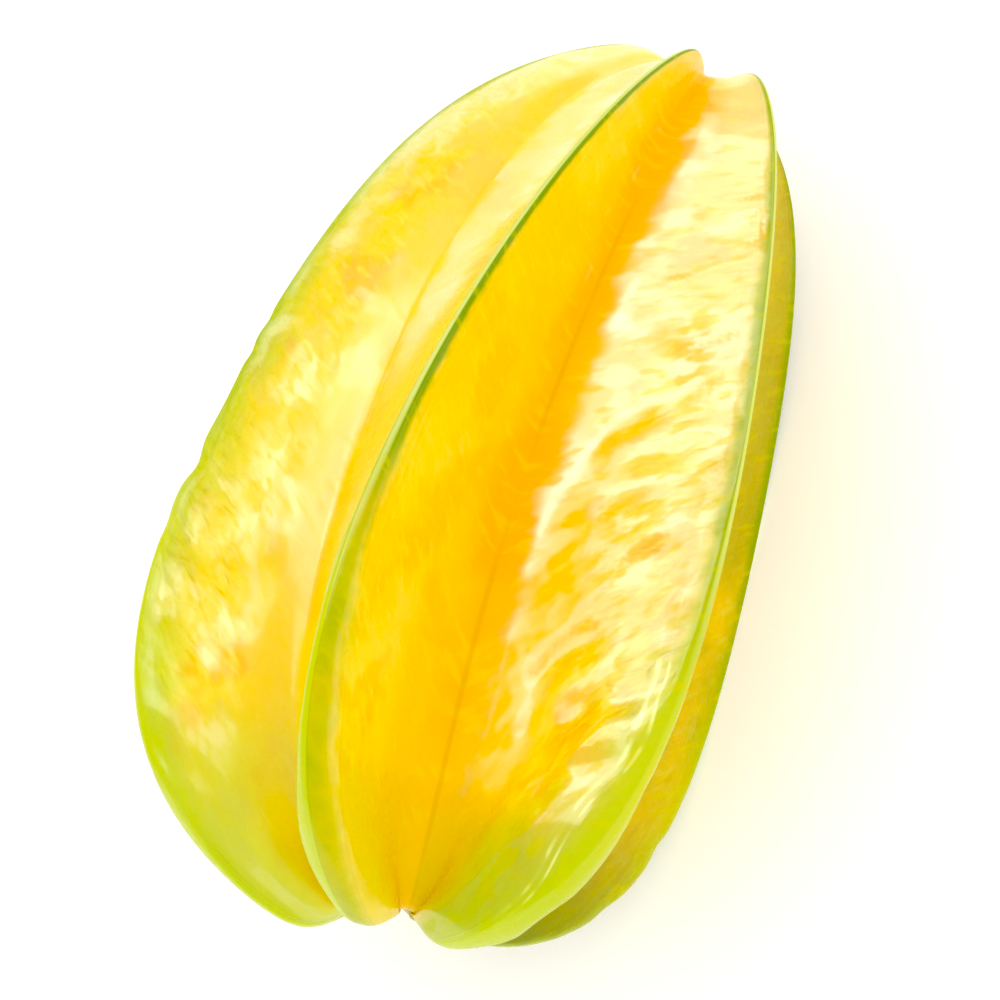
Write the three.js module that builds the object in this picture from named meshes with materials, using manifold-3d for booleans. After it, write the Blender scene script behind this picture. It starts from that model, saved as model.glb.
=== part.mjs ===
/**
 * Star fruit (carambola), ripe, picked and lying on two of its five ribs.
 *
 * Millimetres. The fruit rests on z = 0 with +Z up, +X runs towards the stalk end, and the
 * origin is under the middle of its box.
 *
 * The skin is one closed surface. Round the fruit's axis five ridge curves and five valley curves
 * alternate, and each flank is swept from its valley to its ridge, station by station.
 */
import * as THREE from 'three';
import { mergeVertices } from 'three/addons/utils/BufferGeometryUtils.js';
import Module from 'manifold-3d';

/** A flank's bulge in millimetres and its slope at the rim in degrees: before, after the ridge. */
const PLAIN_FLANKS = { crowns: [11, 11], tapers: [14, 14] };

/**
 * The valley after a rib. radius: its distance from the axis at mid length. fillets: how broadly
 * it is rounded at the stalk end and at the apex. shift: how many degrees it lies off the middle
 * between its ridges. twist, bow: how it wanders from there along the fruit.
 */
const PLAIN_VALLEY = { radius: 16, fillets: [2.5, 7], shift: 0, twist: 0, bow: 0 };

/**
 * The five ribs, in order round the axis. Lengths in millimetres, angles in degrees.
 *
 * angle: where the rib stands round the axis. height: its ridge's distance from the axis.
 * stemReach, apexReach: how far its shoulders stand along the axis at each end.
 * lean: share of the height moved towards the apex. fullness: how square-shouldered it is.
 * twist, bow: how its ridge wanders round the axis along the fruit.
 * hollow: radius of the end hollows beside this rib.
 */
const RIBS = [
  { angle: -171, height: 34.8, stemReach: 54, apexReach: 53.5, lean: 0.24, fullness: 0.2,
    twist: -4, bow: -3, hollow: 6.5, ...PLAIN_FLANKS, valley: PLAIN_VALLEY },
  { angle: -101, height: 36.5, stemReach: 56.6, apexReach: 61.4, lean: 0.18, fullness: 0.46,
    twist: -9.5, bow: -5.5, hollow: 7, ...PLAIN_FLANKS, tapers: [14, 42],
    valley: { ...PLAIN_VALLEY, radius: 20.5, fillets: [1.5, 3], shift: -5.5 } },
  { angle: -24, height: 35.2, stemReach: 56, apexReach: 59.6, lean: 0.29, fullness: 0.18,
    twist: 4.5, bow: 0, hollow: 6.3, ...PLAIN_FLANKS,
    valley: { ...PLAIN_VALLEY, shift: -7, twist: -7, bow: 3.5 } },
  { angle: 40, height: 35.5, stemReach: 56.4, apexReach: 57.7, lean: 0.3, fullness: 0.1,
    twist: -1.5, bow: -5, hollow: 4.8, crowns: [13, 11], tapers: [20, 14], valley: PLAIN_VALLEY },
  { angle: 119, height: 34.8, stemReach: 53, apexReach: 55.5, lean: 0.24, fullness: 0.16,
    twist: -0.5, bow: -2.5, hollow: 6.8, ...PLAIN_FLANKS, valley: PLAIN_VALLEY },
];

/** The core that the ribs grow from: its valleys and the floors of its two end hollows. */
const CORE = {
  valleyStemReach: 53.5,
  valleyApexReach: 56.2,
  valleyPower: 0.81,
  valleyLean: 0.06,
  dimpleRadius: 4,
  stemFloor: 50,
  apexFloor: 50,
};

/** The sideways sag of the axis at mid length, which fades to nothing at half the length. */
const AXIS_BEND = { toward: -0.25, across: -4.75, halfLength: 54 };

/**
 * A rib's rim. halfWidth: its half width at the stalk end. belly, apex: how much it widens over
 * a stretch that is told by the cosine of the station. shoulder, crown: how round it is.
 */
const RIM = {
  halfWidth: 0.7,
  belly: { growth: 1.3, from: 0.35, to: -0.5 },
  apex: { growth: 1.3, from: -0.5, to: -0.95 },
  shoulder: 0.6,
  crown: 0.62,
};

/** Where the valleys' fillets broaden, by the cosine of the station. */
const FILLET_STRETCH = { from: 0.3, to: -0.8 };

/** The most that a section's parts take of its rise, and the rim of its ridge's radius. */
const LARGEST_SHARE = { rim: 0.3, fillet: 0.3, crown: 0.55, rimOfRadius: 0.5 };

/** How the fruit lies: turned round its axis, then tipped towards the stalk end. */
const LAY = {
  roll: THREE.MathUtils.degToRad(65),
  pitch: THREE.MathUtils.degToRad(5),
  flatDepth: 0.5,
};

/** The dry stalk stub in the stem-end hollow, and the socket that it is seated in. */
const STALK = { radius: 1.2, collar: 1.6, height: 2.4, seat: 1.6, gap: 0.3, sides: 16 };

const GRID = { stations: 44, flankSteps: 6, rimSteps: 3 };

/** A smooth change from 0 to 1 while the value goes over a stretch. */
const smoothRise = (value, { from, to }) => {
  const share = THREE.MathUtils.clamp((value - from) / (to - from), 0, 1);
  return share * share * (3 - 2 * share);
};

/** A cubic curve with end values a and d and handles b and c. */
const smoothPoint = (a, b, c, d, t) => {
  const u = 1 - t;
  return a * u ** 3 + 3 * b * u * u * t + 3 * c * u * t * t + d * t ** 3;
};

/** A curve along the fruit: axial place and distance from the axis, sunk into the end hollows. */
function profileAt(station, reach, floor, radius, power, hollow) {
  const along = Math.cos(station);
  const sink = (reach - floor) * Math.exp(-((radius / hollow) ** 2));
  return { axial: Math.sign(along) * (reach * Math.abs(along) ** power - sink), radius };
}

function floorAt(station) {
  return Math.cos(station) > 0 ? CORE.stemFloor : CORE.apexFloor;
}

/** The ridge of a rib at a station from 0, the stem end, to pi, the apex. */
function ridgeAt(rib, station) {
  const along = Math.cos(station);
  const reach = along > 0 ? rib.stemReach : rib.apexReach;
  const radius = rib.height * Math.sin(station) * (1 - rib.lean * along + rib.fullness * along ** 2);
  return profileAt(station, reach, floorAt(station), radius, 1, rib.hollow);
}

/** The bottom of the valley after a rib at a station. */
function valleyAt(rib, station) {
  const along = Math.cos(station);
  const reach = along > 0 ? CORE.valleyStemReach : CORE.valleyApexReach;
  const radius = rib.valley.radius * Math.sin(station) ** CORE.valleyPower
    * (1 - CORE.valleyLean * along);
  return profileAt(
    station, reach, floorAt(station), radius, CORE.valleyPower, CORE.dimpleRadius);
}

/** The half width of every rim at a station: narrow at the stalk end, broad at the apex. */
function rimAt(station) {
  const along = Math.cos(station);
  return RIM.halfWidth + RIM.belly.growth * smoothRise(along, RIM.belly)
    + RIM.apex.growth * smoothRise(along, RIM.apex);
}

/** An angle that wanders along the fruit, in radians. */
function wander(station, angle, twist, bow) {
  const along = Math.cos(station);
  return THREE.MathUtils.degToRad(angle + twist * along + bow * (along ** 2 - 0.3));
}

/** Where each rib's ridge stands round the axis at a station, and the valley after it. */
function anglesAt(station) {
  const ridges = RIBS.map((rib) => wander(station, rib.angle, rib.twist, rib.bow));
  const valleys = RIBS.map((rib, i) => {
    const next = i + 1 < RIBS.length ? ridges[i + 1] : ridges[0] + 2 * Math.PI;
    return (ridges[i] + next) / 2
      + wander(station, rib.valley.shift, rib.valley.twist, rib.valley.bow);
  });
  return { ridges, valleys };
}

/**
 * The section of a half rib at a station, from its valley to its ridge, as points with an axial
 * place, a distance from the axis in the rib's middle plane, and a distance across that plane.
 * The half is 0 before the ridge and 1 after it, and owner is the rib that the valley follows.
 */
function halfRib(rib, half, owner, station, gap) {
  const ridge = ridgeAt(rib, station);
  const valley = valleyAt(owner, station);
  const foot = { radial: valley.radius * Math.cos(gap), across: valley.radius * Math.sin(gap) };
  const rise = Math.hypot(ridge.axial - valley.axial, ridge.radius - foot.radial);
  const axialShare = (ridge.axial - valley.axial) / rise;
  const radialShare = (ridge.radius - foot.radial) / rise;
  const rim = Math.min(
    rimAt(station), LARGEST_SHARE.rim * rise, LARGEST_SHARE.rimOfRadius * ridge.radius);
  const fullFillet = THREE.MathUtils.lerp(
    ...owner.valley.fillets, smoothRise(Math.cos(station), FILLET_STRETCH));
  const fillet = Math.min(fullFillet, LARGEST_SHARE.fillet * rise);
  const crown = Math.min(rib.crowns[half], LARGEST_SHARE.crown * rise);
  const taper = THREE.MathUtils.degToRad(rib.tapers[half]);
  const [slope, drop] = [Math.cos(taper), Math.sin(taper)];
  const shoulder = rise - rim;
  const flankUp = [0, fillet * Math.sin(gap), shoulder - crown * slope, shoulder];
  const flankOut = [foot.across, foot.across - fillet * Math.cos(gap), rim + crown * drop, rim];
  const edge = RIM.shoulder * rim;
  const rimUp = [shoulder, shoulder + edge * slope, rise, rise];
  const rimOut = [rim, rim - edge * drop, RIM.crown * rim, 0];
  const points = [];
  const sweep = (up, out, steps, first) => {
    for (let i = first; i <= steps; i += 1) {
      const height = smoothPoint(...up, i / steps);
      points.push({
        axial: valley.axial + axialShare * height,
        radial: foot.radial + radialShare * height,
        across: smoothPoint(...out, i / steps),
      });
    }
  };
  sweep(flankUp, flankOut, GRID.flankSteps, 0);
  sweep(rimUp, rimOut, GRID.rimSteps, 1);
  return points;
}

/** A place in the fruit's own frame: x along the axis, y and z across it, with the axis' bend. */
function placed(axial, radial, across, angle) {
  const fade = 1 - (axial / AXIS_BEND.halfLength) ** 2;
  return new THREE.Vector3(
    axial,
    radial * Math.cos(angle) - across * Math.sin(angle) + AXIS_BEND.toward * fade,
    radial * Math.sin(angle) + across * Math.cos(angle) + AXIS_BEND.across * fade,
  );
}

/** One ring of the skin, rib by rib: up one flank, over the ridge and down the other flank. */
function ringAt(station) {
  const { ridges, valleys } = anglesAt(station);
  return RIBS.flatMap((rib, i) => {
    const last = i > 0 ? i - 1 : RIBS.length - 1;
    const before = i > 0 ? valleys[last] : valleys[last] - 2 * Math.PI;
    const rising = halfRib(rib, 0, RIBS[last], station, ridges[i] - before)
      .map((p) => placed(p.axial, p.radial, -p.across, ridges[i]));
    const falling = halfRib(rib, 1, rib, station, valleys[i] - ridges[i]).reverse().slice(1, -1)
      .map((p) => placed(p.axial, p.radial, p.across, ridges[i]));
    return [...rising, ...falling];
  });
}

/** The whole skin, from the floor of the stem hollow to the floor of the apex hollow. */
function skinGeometry() {
  const rings = [];
  for (let i = 1; i < GRID.stations; i += 1) rings.push(ringAt((Math.PI * i) / GRID.stations));
  const around = rings[0].length;
  const points = [...rings.flat(), placed(CORE.stemFloor, 0, 0, 0), placed(-CORE.apexFloor, 0, 0, 0)];
  const [stemPole, apexPole] = [points.length - 2, points.length - 1];
  const lastRing = (rings.length - 1) * around;
  const index = [];
  for (let j = 0; j < around; j += 1) {
    const next = (j + 1) % around;
    index.push(j, next, stemPole, lastRing + next, lastRing + j, apexPole);
    for (let ring = 0; ring < lastRing; ring += around) {
      index.push(ring + j, ring + around + j, ring + around + next);
      index.push(ring + j, ring + around + next, ring + next);
    }
  }
  return new THREE.BufferGeometry().setFromPoints(points).setIndex(index);
}

/** A closed lathe about the fruit's axis from a profile of [distance, axial place] pairs. */
function turnedAboutAxis(profile) {
  const outline = profile.map(([radius, axial]) => new THREE.Vector2(radius, axial));
  return new THREE.LatheGeometry(outline, STALK.sides).rotateZ(-Math.PI / 2);
}

/** The stub from its seated foot, past the collar that the fruit let go of, to its dried tip. */
function stalkGeometry() {
  const { radius, collar, height, seat, gap } = STALK;
  const foot = gap - seat;
  return turnedAboutAxis([
    [0, foot], [radius, foot], [radius, 0.3 * height], [collar, 0.5 * height],
    [collar, 0.6 * height], [0.8 * radius, 0.8 * height], [0.9 * radius, height],
    [0, 1.05 * height],
  ]);
}

/** The room that the stub's foot takes in the floor of the hollow, with the gap all round. */
function socketGeometry() {
  const { radius, seat, gap, height } = STALK;
  return turnedAboutAxis([
    [0, -seat], [radius + gap, -seat], [radius + gap, 0.5 * height], [0, 0.5 * height],
  ]);
}

/** Turns the fruit's own frame into the lying one: rolled round its axis, then tipped forward. */
function layingMatrix() {
  const [cos, sin] = [Math.cos(LAY.roll), Math.sin(LAY.roll)];
  const rolled = new THREE.Matrix4().makeBasis(
    new THREE.Vector3(1, 0, 0), new THREE.Vector3(0, -cos, sin), new THREE.Vector3(0, -sin, -cos));
  return new THREE.Matrix4().makeRotationY(LAY.pitch).multiply(rolled);
}

/** Moves a lying skin so that its flats come at z = 0 and its box is centred over the origin. */
function settlingMatrix(lyingSkin) {
  lyingSkin.computeBoundingBox();
  const { min, max } = lyingSkin.boundingBox;
  return new THREE.Matrix4().makeTranslation(
    -(min.x + max.x) / 2, -(min.y + max.y) / 2, -min.z - LAY.flatDepth);
}

const wasm = await Module();
wasm.setup();

function solidFrom(geometry) {
  const bare = geometry.clone().deleteAttribute('normal').deleteAttribute('uv');
  const merged = mergeVertices(bare);
  return new wasm.Manifold(new wasm.Mesh({
    numProp: 3,
    vertProperties: Float32Array.from(merged.attributes.position.array),
    triVerts: Uint32Array.from(merged.index.array),
  }));
}

function geometryFrom(solid) {
  const { vertProperties, triVerts } = solid.getMesh();
  const geometry = new THREE.BufferGeometry();
  geometry.setAttribute('position', new THREE.BufferAttribute(vertProperties, 3));
  geometry.setIndex(new THREE.BufferAttribute(triVerts, 1));
  geometry.computeVertexNormals();
  return geometry;
}

function finish(color, roughness) {
  return new THREE.MeshStandardMaterial({ color, roughness, metalness: 0 });
}

function namedMesh(name, geometry, material) {
  const mesh = new THREE.Mesh(geometry, material);
  mesh.name = name;
  return mesh;
}

const laying = layingMatrix();
const skin = skinGeometry().applyMatrix4(laying);
const settling = settlingMatrix(skin);
const stalkSeat = placed(CORE.stemFloor, 0, 0, 0);
const stalkPlace = settling.clone().multiply(laying)
  .multiply(new THREE.Matrix4().makeTranslation(stalkSeat.x, stalkSeat.y, stalkSeat.z));

const ground = new THREE.BoxGeometry(200, 200, 20).translate(0, 0, -10);
const fruit = solidFrom(skin.applyMatrix4(settling))
  .subtract(solidFrom(ground))
  .subtract(solidFrom(socketGeometry().applyMatrix4(stalkPlace)));

const starFruit = new THREE.Group();
starFruit.add(
  namedMesh('fruit', geometryFrom(fruit), finish(0xf7c71a, 0.35)),
  namedMesh('stalk_stub', stalkGeometry().applyMatrix4(stalkPlace), finish(0x6b5330, 0.85)),
);

export default starFruit;
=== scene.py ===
"""Dresses a ripe star fruit: its ribbed, waxy skin and the dry stub of its stalk, on a pale floor.

Metres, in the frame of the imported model. The skin is worked out anew, finer than the solid that
it stands for, from the same few sizes: five ridge curves and five valley curves along the fruit,
with each flank swept from its valley to its ridge.
"""

import logging
from dataclasses import dataclass, field
from enum import Enum
from functools import partial, reduce
from math import cos, pi, radians, sin
from typing import NamedTuple, Union

import bpy
import numpy as np
from mathutils import Matrix, Vector


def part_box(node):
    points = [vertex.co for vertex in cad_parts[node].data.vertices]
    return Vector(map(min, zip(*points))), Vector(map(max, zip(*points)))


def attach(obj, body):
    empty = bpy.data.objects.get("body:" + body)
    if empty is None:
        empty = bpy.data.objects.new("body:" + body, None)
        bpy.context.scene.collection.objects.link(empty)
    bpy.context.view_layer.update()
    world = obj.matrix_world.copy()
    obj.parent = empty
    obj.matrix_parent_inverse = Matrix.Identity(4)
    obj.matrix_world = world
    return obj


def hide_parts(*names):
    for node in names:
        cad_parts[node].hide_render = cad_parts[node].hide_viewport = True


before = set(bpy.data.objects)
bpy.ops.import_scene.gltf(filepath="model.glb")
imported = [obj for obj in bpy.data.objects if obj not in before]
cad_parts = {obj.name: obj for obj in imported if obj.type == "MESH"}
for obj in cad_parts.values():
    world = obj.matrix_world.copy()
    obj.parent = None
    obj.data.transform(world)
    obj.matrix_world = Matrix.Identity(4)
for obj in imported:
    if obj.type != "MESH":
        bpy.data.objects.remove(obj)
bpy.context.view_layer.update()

log = logging.getLogger("star_fruit")
MM = 0.001
ROOT = "root"
Grid = np.ndarray
Colour = tuple[float, float, float, float]
Socket = bpy.types.NodeSocket
Source = Union[Socket, float, Colour]


class Side(Enum):
    """The two flanks of a rib, by the way that they face round the axis."""

    BEFORE = -1
    AFTER = 1

    def of(self, pair: tuple[float, float]) -> float:
        """This flank's value, from a pair that holds the flank before the ridge first."""
        return pair[max(self.value, 0)]


class Trait(Enum):
    """What the skin keeps at each of its points, by the name of the attribute that holds it.

    Crest goes from 0 in a valley to 1 on a ridge, and along from 0 at the apex to 1 at the stalk
    end. Rib says what the others are.
    """

    CREST = "crest"
    GREEN = "green"
    PUCKER = "pucker"
    WAX = "wax"
    DEEP = "deep"
    VERGE = "verge"
    ALONG = "along"


# ---------------------------------------------------------------- shape tools


def smooth_step(low: float, high: float, value: Grid) -> Grid:
    """A smooth rise from 0 at low to 1 at high: 3t^2 - 2t^3 of the clipped share t.

    Args:
        low: the value where the rise starts.
        high: the value where it ends; it may be below low, for a fall.
        value: the values to grade.

    Returns:
        The grades, from 0 to 1.
    """
    share = np.clip((value - low) / (high - low), 0.0, 1.0)
    return share * share * (3.0 - 2.0 * share)


def cubic(a: Grid, b: Grid, c: Grid, d: Grid, share: Grid) -> Grid:
    """A cubic curve with end values a and d and handles b and c.

    Args:
        a: start value, one per station.
        b: first handle.
        c: second handle.
        d: end value.
        share: place along the curve, from 0 to 1, one per column.

    Returns:
        Values on the grid of stations by columns: the Bernstein sum of the four.
    """
    rest = 1.0 - share
    return (
        np.multiply.outer(a, rest**3)
        + np.multiply.outer(b, 3.0 * rest**2 * share)
        + np.multiply.outer(c, 3.0 * rest * share**2)
        + np.multiply.outer(d, share**3)
    )


def lattice_noise(x: Grid, y: Grid, seed: int) -> Grid:
    """Smooth random hills from -1 to 1, about one cell across.

    Each whole-numbered lattice point has a random height, and the heights are blended between
    the points with a smooth step along x and y.

    Args:
        x: first coordinate, in cells.
        y: second coordinate, in cells.
        seed: picks the random heights.

    Returns:
        The heights at the points.
    """
    size = 256
    heights = np.random.default_rng(seed).uniform(-1.0, 1.0, (size, size))
    column, row = np.floor(x).astype(int), np.floor(y).astype(int)
    across, up = smooth_step(0.0, 1.0, x - column), smooth_step(0.0, 1.0, y - row)

    def corner(right: int, above: int) -> Grid:
        """The random height of one corner of each point's cell."""
        return heights[(column + right) % size, (row + above) % size]

    low = corner(0, 0) * (1.0 - across) + corner(1, 0) * across
    high = corner(0, 1) * (1.0 - across) + corner(1, 1) * across
    return low * (1.0 - up) + high * up


def mesh_object(name: str, points: Grid, faces: list[Grid], smooth: bool = True) -> bpy.types.Object:
    """Makes a mesh object at the origin from points and several arrays of faces.

    Args:
        name: the piece's name.
        points: vertex places in metres, one row each.
        faces: arrays of faces, each with one row of vertex numbers per face.
        smooth: whether its faces are shaded smooth.

    Returns:
        The new object, linked to the scene.
    """
    mesh = bpy.data.meshes.new(name)
    mesh.from_pydata(points.tolist(), [], [face for group in faces for face in group.tolist()])
    mesh.polygons.foreach_set("use_smooth", np.full(len(mesh.polygons), smooth))
    mesh.validate()
    made = bpy.data.objects.new(name, mesh)
    bpy.context.scene.collection.objects.link(made)
    return made


def ring_faces(rings: int, around: int) -> Grid:
    """The four-sided faces between successive closed rings of a grid, facing outwards.

    Args:
        rings: the number of rings.
        around: the number of points in each.

    Returns:
        One row of four vertex numbers per face.
    """
    ring, place = np.meshgrid(np.arange(rings - 1), np.arange(around), indexing="ij")
    after = (place + 1) % around
    start = ring * around
    corners = (start + place, start + around + place, start + around + after, start + after)
    return np.stack(corners, axis=-1).reshape(-1, 4)


def cap_faces(first: int, around: int, pole: int, at_start: bool) -> Grid:
    """The three-sided faces that close a ring with a pole.

    Args:
        first: number of the ring's first vertex.
        around: the number of points in the ring.
        pole: number of the pole's vertex.
        at_start: whether the pole is before the first ring, and not after the last.

    Returns:
        One row of three vertex numbers per face.
    """
    place = np.arange(around)
    after = (place + 1) % around
    pair = (first + place, first + after) if at_start else (first + after, first + place)
    return np.stack([*pair, np.full(around, pole)], axis=-1)


# ---------------------------------------------------------------- the fruit's sizes


@dataclass(frozen=True)
class Wander:
    """An angle round the axis, in degrees, that drifts along the fruit."""

    angle: float = 0.0
    twist: float = 0.0
    bow: float = 0.0
    bow_level: float = 0.3

    def at(self, along: Grid) -> Grid:
        """The angle in radians where along is the cosine of the station: angle, twist, bow."""
        return np.radians(self.angle + self.twist * along + self.bow * (along**2 - self.bow_level))


@dataclass(frozen=True)
class Dent:
    """A shallow nick in a ridge: where along it, how wide (both as cosines) and how deep in mm."""

    place: float
    width: float
    depth: float


@dataclass(frozen=True)
class Rib:
    """One rib: its place round the axis, its ridge's profile, and the valley after it. In mm.

    The pairs from crowns to verge have a value for the flank before the ridge and one for the
    flank after it. Deep says whether the flank's valley is a deep, yellow one. Verge makes the
    green of the rim broader and paler above 0, and darker below. Green says how unripe the rib is;
    its darker olive on the lowest ribs is also painted shade. Puckers and wax say how much of the
    full relief and of the full wax a flank has.
    """

    course: Wander
    height: float
    stalk_reach: float
    apex_reach: float
    lean: float
    fullness: float
    hollow: float
    valley_radius: float = 16.0
    valley_fillet: tuple[float, float] = (2.5, 7.0)
    crowns: tuple[float, float] = (11.0, 11.0)
    tapers: tuple[float, float] = (14.0, 14.0)
    puckers: tuple[float, float] = (1.0, 1.0)
    wax: tuple[float, float] = (1.0, 1.0)
    deep: tuple[float, float] = (1.0, 1.0)
    verge: tuple[float, float] = (0.0, 0.0)
    green: float = 0.0
    valley: Wander = Wander()
    dents: tuple[Dent, ...] = ()


RIBS = (
    Rib(Wander(-171, -4, -3), 34.8, 54.0, 53.5, 0.24, 0.20, 6.5, green=0.7, wax=(0.5, 0.8)),
    Rib(Wander(-101, -9.5, -5.5), 36.5, 56.6, 61.4, 0.18, 0.46, 7.0, 20.5, (1.5, 3.0), tapers=(14, 42),
        valley=Wander(-5.5, 0, 0), wax=(1.0, 0.74), deep=(1.0, 0.0), verge=(0.0, 0.09),
        green=0.12, dents=(Dent(-0.2, 0.035, 0.7), Dent(-0.07, 0.12, 0.5), Dent(0.05, 0.02, 0.25),
                           Dent(0.13, 0.02, 0.2), Dent(-0.33, 0.03, 0.2))),
    Rib(Wander(-24, 4.5, 0), 35.2, 56.0, 59.6, 0.29, 0.18, 6.3, puckers=(0.5, 0.2), wax=(1.0, 0.5),
        deep=(0.0, 1.0), verge=(0.03, -0.08), valley=Wander(-7, -7, 3.5)),
    Rib(Wander(40, -1.5, -5), 35.5, 55.7, 57.7, 0.30, 0.10, 4.8, crowns=(17, 11), tapers=(20, 14),
        wax=(1.0, 0.4), verge=(0.05, 0.0)),
    Rib(Wander(119, -0.5, -2.5), 34.8, 53.0, 55.5, 0.24, 0.16, 6.8, puckers=(0.5, 1.0),
        wax=(0.15, 0.5), green=0.9,
        dents=(Dent(-0.62, 0.03, 0.35), Dent(-0.79, 0.03, 0.35))),
)


@dataclass(frozen=True)
class Core:
    """What the ribs grow from: the valleys and the floors of the two end hollows. In mm."""

    valley_reach: float = 53.5
    valley_apex_reach: float = 56.2
    valley_power: float = 0.81
    valley_lean: float = 0.06
    dimple_radius: float = 4.0
    stalk_floor: float = 50.0
    apex_floor: float = 50.0
    bend_toward: float = -0.25
    bend_across: float = -4.75
    bend_half_length: float = 54.0

    def floor(self, along: Grid) -> Grid:
        """How far along the axis the end hollow's floor is, on each station's side."""
        return np.where(along > 0.0, self.stalk_floor, self.apex_floor)

    def bend(self, axial: Grid) -> tuple[Grid, Grid]:
        """The sideways bend of the axis, greatest at mid length and fading with the square."""
        fade = 1.0 - (axial / self.bend_half_length) ** 2
        return self.bend_toward * fade, self.bend_across * fade


@dataclass(frozen=True)
class RibSection:
    """A half rib's outline across the fruit: rounded valley, crowned flank, blunt rim. In mm.

    A rise has the cosines of the stations where it starts and ends. A most is the largest share
    of the climb from valley to ridge.
    """

    rim_half_width: float = 0.4
    rim_low_growth: float = 1.5
    rim_low_rise: tuple[float, float] = (0.2, -0.75)
    rim_apex_growth: float = 1.4
    rim_apex_rise: tuple[float, float] = (-0.5, -0.95)
    rim_most: float = 0.3
    rim_most_of_radius: float = 0.5
    rim_shoulder: float = 0.6
    rim_crown: float = 0.62
    fillet_rise: tuple[float, float] = (0.3, -0.8)
    fillet_most: float = 0.3
    crown_most: float = 0.75
    flank_columns: int = 32
    rim_columns: int = 8


@dataclass(frozen=True)
class Lie:
    """How the fruit lies: rolled round its axis, then tipped towards the stalk end."""

    roll: float = radians(65)
    pitch: float = radians(5)
    flat_depth: float = 0.5

    def turning(self) -> Grid:
        """Turns the fruit: first by roll about its axis, then by pitch about the Y axis.

        Returns:
            The 3 by 3 turn from the fruit's own frame to the lying one.
        """
        rolled = np.array(
            [[1, 0, 0], [0, -cos(self.roll), -sin(self.roll)], [0, sin(self.roll), -cos(self.roll)]]
        )
        tipped = np.array(
            [[cos(self.pitch), 0, sin(self.pitch)], [0, 1, 0], [-sin(self.pitch), 0, cos(self.pitch)]]
        )
        return tipped @ rolled


# ---------------------------------------------------------------- relief


@dataclass(frozen=True)
class Slant:
    """The way that the skin's puckers run: outwards up a flank and towards the stalk end.

    The angle from the fruit's axis changes evenly from the stalk end to the apex.
    """

    stalk: float = radians(70)
    apex: float = radians(35)
    half_length: float = 55.0

    def lanes(self, axial: Grid, rise: Grid) -> tuple[Grid, Grid]:
        """Places along and across the puckers.

        Args:
            axial: place along the fruit, in mm.
            rise: distance up the flank from its valley, in mm.

        Returns:
            The two places turned by the slant: along the puckers and across them, in mm.
        """
        share = 0.5 + 0.5 * axial / self.half_length
        angle = self.apex + (self.stalk - self.apex) * share
        along = axial * np.cos(angle) + rise * np.sin(angle)
        return along, rise * np.cos(angle) - axial * np.sin(angle)


@dataclass(frozen=True)
class Ripples:
    """Low puckers of one size. In mm."""

    width: float
    length: float
    height: float
    seed: int
    drift: float = 0.6
    drift_size: float = 9.0

    def over(self, along: Grid, across: Grid) -> Grid:
        """Smooth hills, longer than wide, that wave a little.

        Args:
            along: place along the puckers.
            across: place across them.

        Returns:
            The height of the skin above its plain shape.
        """
        size = self.drift_size
        drift = self.drift * lattice_noise(along / size, across / size, self.seed + 1)
        return self.height * lattice_noise(across / self.width + drift, along / self.length, self.seed)


@dataclass(frozen=True)
class Puckering:
    """Where a flank is puckered, as shares of the way from its valley to its ridge.

    The swell's span is in cosines of the stations, the ends' in sines, and the climb in mm.
    """

    start: float = 0.1
    shallow_start: float = 0.1
    rise: float = 0.3
    rim: float = 0.9
    swell: float = 0.6
    swell_span: tuple[float, float] = (0.15, -0.45)
    ends: tuple[float, float] = (0.0, 0.35)
    full_climb: float = 16.0

    def on(self, crest: Grid, station: Grid, deep: float, climb: Grid) -> Grid:
        """How puckered a flank is: not in the valley, at the rim and at the ends.

        Args:
            crest: share of the way from valley to ridge.
            station: the stations along the fruit.
            deep: 1 where the valley is deep.
            climb: the flank's width at each station, in mm.

        Returns:
            The share of the full relief, which is deepest past mid length.
        """
        start = self.start + self.shallow_start * (1.0 - deep)
        fade = smooth_step(start, start + self.rise, crest) * smooth_step(1.0, self.rim, crest)
        swell = 1.0 + self.swell * smooth_step(*self.swell_span, np.cos(station))
        fade = fade * (smooth_step(*self.ends, np.sin(station)) * swell)[:, None]
        return fade * np.minimum(climb / self.full_climb, 1.0)[:, None]


# ---------------------------------------------------------------- the skin


@dataclass
class HalfRib:
    """One flank of one rib, from its valley to its ridge, on a grid of stations by columns."""

    points: Grid
    crest: Grid
    green: Grid
    rise: Grid
    pucker: Grid
    wax: Grid
    deep: Grid
    verge: Grid


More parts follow.
